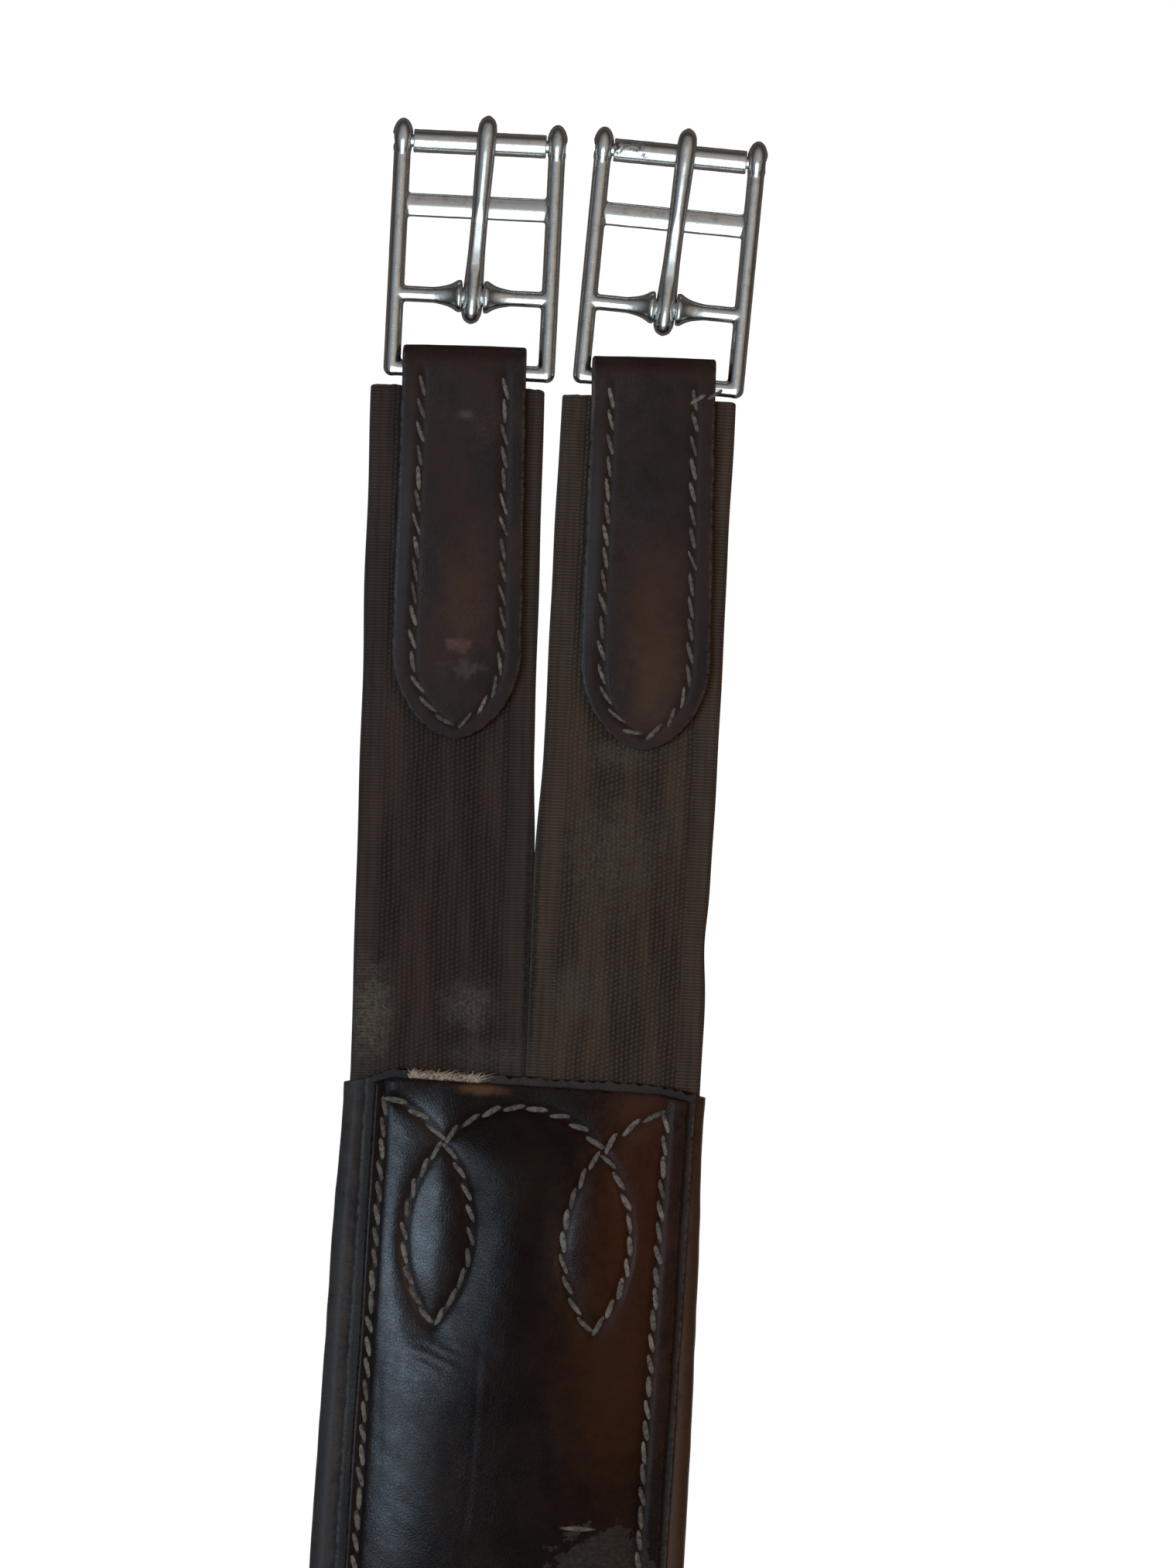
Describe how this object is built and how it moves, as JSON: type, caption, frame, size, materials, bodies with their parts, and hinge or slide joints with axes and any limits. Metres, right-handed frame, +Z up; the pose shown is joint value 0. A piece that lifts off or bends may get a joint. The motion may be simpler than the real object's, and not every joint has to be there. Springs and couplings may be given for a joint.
{
  "type": "saddle girth",
  "caption": "Padded leather saddle girth with elastic ends, folded leather chapes and roller buckles that take the saddle's billet straps.",
  "frame": {"origin": "centre of the girth's footprint, on the surface that it lies on", "axes": "+Y along the girth towards the near end's buckles, +X across it to the right, +Z up out of the front panel"},
  "size_m": [0.0798, 1.0169, 0.0102],
  "materials": {
    "panel_leather": "glossy, worn dark brown",
    "lining_leather": "soft dark brown",
    "chape_leather": "satin, worn dark brown",
    "elastic": "ribbed woven elastic, dark brown",
    "webbing": "plain woven",
    "foam": "open foam",
    "thread": "waxed, weathered grey-brown",
    "buckle_steel": "polished stainless steel",
    "roller_steel": "turned stainless steel"
  },
  "bodies": {
    "root": {"lining_leather": "lining_leather", "foam_pad": "foam", "core_webbing": "webbing", "backing_leather": "panel_leather", "front_panel": "panel_leather", "side_seam_stitching": "thread", "near_scroll_stitching": "thread", "near_tack_stitching": "thread", "off_scroll_stitching": "thread", "off_tack_stitching": "thread"},
    "near_left_elastic_body": {"near_left_elastic": "elastic"},
    "near_left_chape_body": {"near_left_chape": "chape_leather", "near_left_chape_stitching": "thread"},
    "near_left_buckle_body": {"near_left_buckle_frame": "buckle_steel", "near_left_roller_pin": "buckle_steel"},
    "near_left_tongue_body": {"near_left_tongue": "buckle_steel"},
    "near_left_roller_body": {"near_left_roller": "roller_steel"},
    "near_right_elastic_body": {"near_right_elastic": "elastic"},
    "near_right_chape_body": {"near_right_chape": "chape_leather", "near_right_chape_stitching": "thread"},
    "near_right_buckle_body": {"near_right_buckle_frame": "buckle_steel", "near_right_roller_pin": "buckle_steel"},
    "near_right_tongue_body": {"near_right_tongue": "buckle_steel"},
    "near_right_roller_body": {"near_right_roller": "roller_steel"},
    "off_left_elastic_body": {"off_left_elastic": "elastic"},
    "off_left_chape_body": {"off_left_chape": "chape_leather", "off_left_chape_stitching": "thread"},
    "off_left_buckle_body": {"off_left_buckle_frame": "buckle_steel", "off_left_roller_pin": "buckle_steel"},
    "off_left_tongue_body": {"off_left_tongue": "buckle_steel"},
    "off_left_roller_body": {"off_left_roller": "roller_steel"},
    "off_right_elastic_body": {"off_right_elastic": "elastic"},
    "off_right_chape_body": {"off_right_chape": "chape_leather", "off_right_chape_stitching": "thread"},
    "off_right_buckle_body": {"off_right_buckle_frame": "buckle_steel", "off_right_roller_pin": "buckle_steel"},
    "off_right_tongue_body": {"off_right_tongue": "buckle_steel"},
    "off_right_roller_body": {"off_right_roller": "roller_steel"}
  },
  "joints": [
    {"name": "near_left_elastic_bend", "type": "hinge", "parent": "root", "child": "near_left_elastic_body", "pos_m": [-0.0177, 0.3183, 0.0037], "axis": [1, 0, 0], "range_deg": [-150, 150], "deforming": ["near_left_elastic"]},
    {"name": "near_left_elastic_stretch", "type": "slide", "parent": "near_left_elastic_body", "child": "near_left_chape_body", "axis": [-0.034, 0.9994, 0], "range_m": [0, 0.02], "stiffness_N_per_m": 4000},
    {"name": "near_left_buckle_swing", "type": "hinge", "parent": "near_left_chape_body", "child": "near_left_buckle_body", "pos_m": [-0.02036, 0.45755, 0.0037], "axis": [0.9999, 0.0157, 0], "range_deg": [-115, 70]},
    {"name": "near_left_tongue_lift", "type": "hinge", "parent": "near_left_buckle_body", "child": "near_left_tongue_body", "pos_m": [-0.02059, 0.47254, 0.00331], "axis": [0.9999, 0.0157, 0], "range_deg": [0, 110]},
    {"name": "near_left_roller_spin", "type": "hinge", "parent": "near_left_buckle_body", "child": "near_left_roller_body", "pos_m": [-0.02108, 0.50343, 0.00251], "axis": [0.9999, 0.0157, 0], "continuous": true},
    {"name": "near_right_elastic_bend", "type": "hinge", "parent": "root", "child": "near_right_elastic_body", "pos_m": [0.0177, 0.3183, 0.0037], "axis": [1, 0, 0], "range_deg": [-150, 150], "deforming": ["near_right_elastic"]},
    {"name": "near_right_elastic_stretch", "type": "slide", "parent": "near_right_elastic_body", "child": "near_right_chape_body", "axis": [-0.0117, 0.9999, 0], "range_m": [0, 0.02], "stiffness_N_per_m": 4000},
    {"name": "near_right_buckle_swing", "type": "hinge", "parent": "near_right_chape_body", "child": "near_right_buckle_body", "pos_m": [0.01775, 0.45762, 0.0037], "axis": [0.9995, -0.0332, 0], "range_deg": [-115, 70]},
    {"name": "near_right_tongue_lift", "type": "hinge", "parent": "near_right_buckle_body", "child": "near_right_tongue_body", "pos_m": [0.01824, 0.47261, 0.00331], "axis": [0.9995, -0.0332, 0], "range_deg": [0, 110]},
    {"name": "near_right_roller_spin", "type": "hinge", "parent": "near_right_buckle_body", "child": "near_right_roller_body", "pos_m": [0.01927, 0.50348, 0.00251], "axis": [0.9995, -0.0332, 0], "continuous": true},
    {"name": "off_left_elastic_bend", "type": "hinge", "parent": "root", "child": "off_left_elastic_body", "pos_m": [0.0177, -0.3183, 0.0037], "axis": [-1, 0, 0], "range_deg": [-150, 150], "deforming": ["off_left_elastic"]},
    {"name": "off_left_elastic_stretch", "type": "slide", "parent": "off_left_elastic_body", "child": "off_left_chape_body", "axis": [0.034, -0.9994, 0], "range_m": [0, 0.02], "stiffness_N_per_m": 4000},
    {"name": "off_left_buckle_swing", "type": "hinge", "parent": "off_left_chape_body", "child": "off_left_buckle_body", "pos_m": [0.02091, -0.45754, 0.0037], "axis": [-0.9999, -0.0122, 0], "range_deg": [-115, 70]},
    {"name": "off_left_tongue_lift", "type": "hinge", "parent": "off_left_buckle_body", "child": "off_left_tongue_body", "pos_m": [0.02109, -0.47254, 0.00331], "axis": [-0.9999, -0.0122, 0], "range_deg": [0, 110]},
    {"name": "off_left_roller_spin", "type": "hinge", "parent": "off_left_buckle_body", "child": "off_left_roller_body", "pos_m": [0.02147, -0.50343, 0.00251], "axis": [-0.9999, -0.0122, 0], "continuous": true},
    {"name": "off_right_elastic_bend", "type": "hinge", "parent": "root", "child": "off_right_elastic_body", "pos_m": [-0.0177, -0.3183, 0.0037], "axis": [-1, 0, 0], "range_deg": [-150, 150], "deforming": ["off_right_elastic"]},
    {"name": "off_right_elastic_stretch", "type": "slide", "parent": "off_right_elastic_body", "child": "off_right_chape_body", "axis": [-0.0052, -1, 0], "range_m": [0, 0.02], "stiffness_N_per_m": 4000},
    {"name": "off_right_buckle_swing", "type": "hinge", "parent": "off_right_chape_body", "child": "off_right_buckle_body", "pos_m": [-0.01854, -0.45759, 0.0037], "axis": [-0.9996, 0.0279, 0], "range_deg": [-115, 70]},
    {"name": "off_right_tongue_lift", "type": "hinge", "parent": "off_right_buckle_body", "child": "off_right_tongue_body", "pos_m": [-0.01896, -0.47258, 0.00331], "axis": [-0.9996, 0.0279, 0], "range_deg": [0, 110]},
    {"name": "off_right_roller_spin", "type": "hinge", "parent": "off_right_buckle_body", "child": "off_right_roller_body", "pos_m": [-0.01982, -0.50345, 0.00251], "axis": [-0.9996, 0.0279, 0], "continuous": true}
  ]
}
